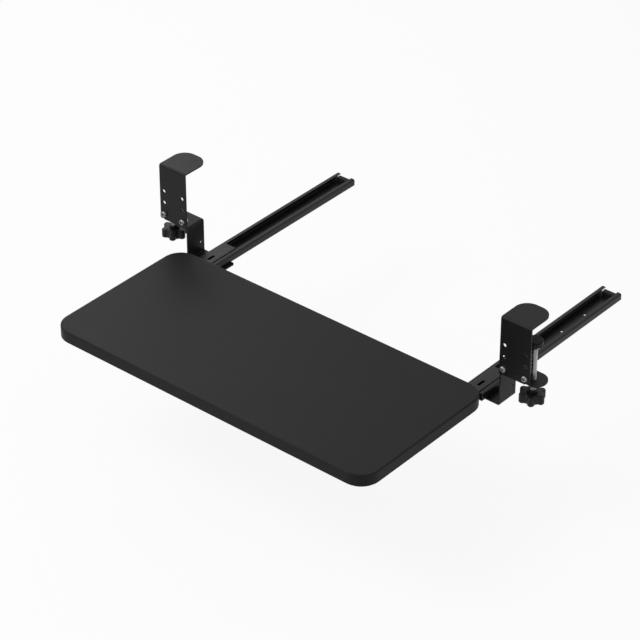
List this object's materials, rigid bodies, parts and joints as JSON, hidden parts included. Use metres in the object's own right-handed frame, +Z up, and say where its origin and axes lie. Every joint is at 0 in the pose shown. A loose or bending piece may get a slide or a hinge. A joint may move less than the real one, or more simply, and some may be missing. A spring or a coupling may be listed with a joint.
{
  "type": "keyboard tray under desk",
  "caption": "Sliding keyboard tray that clamps under a desk's front edge and pulls out on ball bearing rails.",
  "frame": {"origin": "on the desk's top front edge, midway between the two clamps, level with the underside of the tongues' pads", "axes": "+X right along the desk's front edge as the user sees it, +Y back under the desk, +Z up"},
  "size_m": [0.745, 0.645, 0.1607],
  "materials": {
    "black_laminate": "MDF board with a fine textured black laminate",
    "coated_steel": "satin black powder coat",
    "rail_steel": "black zinc plate, satin",
    "runner_steel": "black zinc plate, satin",
    "cage_steel": "plain rolled strip",
    "ball_steel": "polished",
    "screw_steel": "bright plate",
    "zinc": "bright zinc plate",
    "knob_plastic": "fine moulded grain",
    "foot_plastic": "satin moulding",
    "rubber": "matt",
    "foam": "closed cell foam"
  },
  "bodies": {
    "brackets": {"left_hook_bracket": "coated_steel", "left_hook_pad": "foam", "left_drop_bracket": "coated_steel", "left_hook_bolts": "zinc", "left_hook_nuts": "zinc", "left_weld_nut": "zinc", "left_fixed_rail": "rail_steel", "left_rail_bumper": "rubber", "left_rail_screws": "zinc", "left_rail_nuts": "zinc", "right_hook_bracket": "coated_steel", "right_hook_pad": "foam", "right_drop_bracket": "coated_steel", "right_hook_bolts": "zinc", "right_hook_nuts": "zinc", "right_weld_nut": "zinc", "right_fixed_rail": "rail_steel", "right_rail_bumper": "rubber", "right_rail_screws": "zinc", "right_rail_nuts": "zinc"},
    "tray": {"tray_board": "black_laminate", "left_runner": "runner_steel", "left_tray_screws": "zinc", "right_runner": "runner_steel", "right_tray_screws": "zinc"},
    "left_cage": {"left_ball_cage": "cage_steel", "left_bearing_balls": "ball_steel"},
    "left_foot": {"left_swivel_foot": "foot_plastic", "left_foot_rubber": "rubber"},
    "left_screw": {"left_clamp_screw": "screw_steel", "left_clamp_knob": "knob_plastic"},
    "right_cage": {"right_ball_cage": "cage_steel", "right_bearing_balls": "ball_steel"},
    "right_foot": {"right_swivel_foot": "foot_plastic", "right_foot_rubber": "rubber"},
    "right_screw": {"right_clamp_screw": "screw_steel", "right_clamp_knob": "knob_plastic"}
  },
  "joints": [
    {"name": "tray_slide", "type": "slide", "parent": "brackets", "child": "tray", "axis": [0, 1, 0], "range_m": [0, 0.272]},
    {"name": "left_cage_slide", "type": "slide", "parent": "brackets", "child": "left_cage", "axis": [0, 1, 0], "range_m": [-0.0001, 0.1361]},
    {"name": "left_clamp_lift", "type": "slide", "parent": "brackets", "child": "left_foot", "axis": [0, 0, 1], "range_m": [-0.054, 0.0105]},
    {"name": "left_clamp_turn", "type": "hinge", "parent": "left_foot", "child": "left_screw", "pos_m": [-0.35, 0.019, 0], "axis": [0, 0, 1], "range_deg": [-12970, 2530]},
    {"name": "right_cage_slide", "type": "slide", "parent": "brackets", "child": "right_cage", "axis": [0, 1, 0], "range_m": [-0.0001, 0.1361]},
    {"name": "right_clamp_lift", "type": "slide", "parent": "brackets", "child": "right_foot", "axis": [0, 0, 1], "range_m": [-0.054, 0.0105]},
    {"name": "right_clamp_turn", "type": "hinge", "parent": "right_foot", "child": "right_screw", "pos_m": [0.35, 0.019, 0], "axis": [0, 0, 1], "range_deg": [-12970, 2530]}
  ],
  "couplings": [
    {"joint": "left_cage_slide", "follows": "tray_slide", "ratio": 0.5},
    {"joint": "left_clamp_turn", "follows": "left_clamp_lift", "rad_per_m": 4188.8},
    {"joint": "right_cage_slide", "follows": "tray_slide", "ratio": 0.5},
    {"joint": "right_clamp_turn", "follows": "right_clamp_lift", "rad_per_m": 4188.8}
  ]
}
